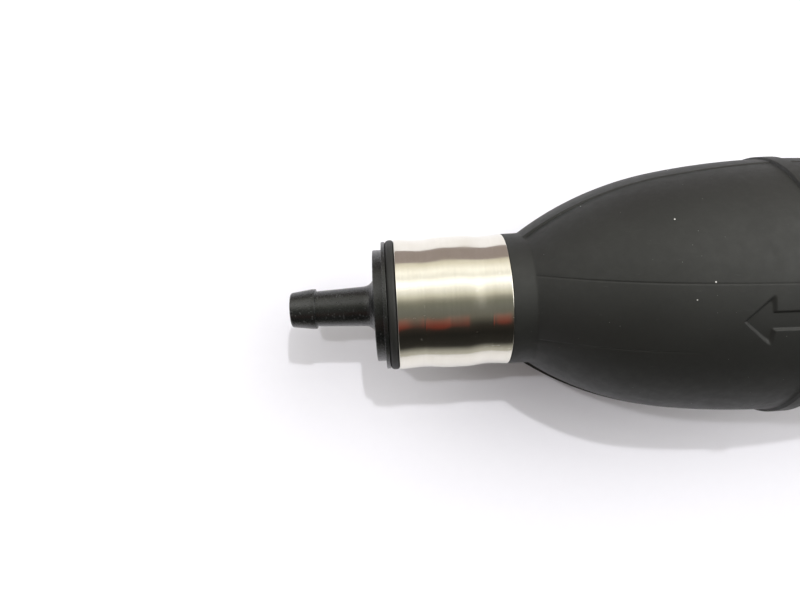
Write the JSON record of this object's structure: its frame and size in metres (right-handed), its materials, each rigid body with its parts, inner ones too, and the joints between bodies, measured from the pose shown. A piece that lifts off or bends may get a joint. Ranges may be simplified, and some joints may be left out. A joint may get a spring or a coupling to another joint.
{
  "type": "siphon bulb pump",
  "caption": "Hand-squeezed rubber siphon bulb with a barbed hose fitting, a crimped steel ferrule and a spring-loaded check valve at each end.",
  "frame": {"origin": "middle of the bulb, on the pump's axis", "axes": "X along the pump's axis, with the inlet at +X and the outlet at -X, so liquid flows towards -X; +Z is the side with the flow arrow; +Y completes the right-handed frame and the side bands face +Y and -Y"},
  "size_m": [0.2018, 0.0544, 0.0532],
  "materials": {
    "bulb_rubber": "matt moulded nitrile rubber, black",
    "fitting_plastic": "satin black moulded plastic",
    "ferrule_steel": "bright tinned steel with fine scratches",
    "valve_plastic": "natural acetal",
    "seal_rubber": "smooth black nitrile",
    "spring_steel": "bright drawn stainless wire and strip"
  },
  "bodies": {
    "pump_body": {"bulb": "bulb_rubber", "outlet_fitting": "fitting_plastic", "outlet_ferrule": "ferrule_steel", "outlet_valve_seat": "valve_plastic", "outlet_seat_o_ring": "seal_rubber", "outlet_valve_spring": "spring_steel", "outlet_spring_cage": "valve_plastic", "outlet_retaining_ring": "spring_steel", "inlet_fitting": "fitting_plastic", "inlet_ferrule": "ferrule_steel", "inlet_valve_seat": "valve_plastic", "inlet_seat_o_ring": "seal_rubber", "inlet_valve_spring": "spring_steel", "inlet_spring_cage": "valve_plastic", "inlet_retaining_ring": "spring_steel"},
    "squeeze_wall": {"bulb_squeeze_wall": "bulb_rubber"},
    "outlet_valve": {"outlet_poppet": "valve_plastic", "outlet_poppet_seal": "seal_rubber"},
    "inlet_valve": {"inlet_poppet": "valve_plastic", "inlet_poppet_seal": "seal_rubber"}
  },
  "joints": [
    {"name": "bulb_squeeze", "type": "slide", "parent": "pump_body", "child": "squeeze_wall", "axis": [0, 0, -1], "range_m": [0, 0.01], "stiffness_N_per_m": 3000},
    {"name": "outlet_valve_lift", "type": "slide", "parent": "pump_body", "child": "outlet_valve", "axis": [-1, 0, 0], "range_m": [0, 0.0022], "stiffness_N_per_m": 60, "springref_m": -0.002, "deforming": ["outlet_valve_spring"]},
    {"name": "inlet_valve_lift", "type": "slide", "parent": "pump_body", "child": "inlet_valve", "axis": [-1, 0, 0], "range_m": [0, 0.0022], "stiffness_N_per_m": 60, "springref_m": -0.002, "deforming": ["inlet_valve_spring"]}
  ]
}
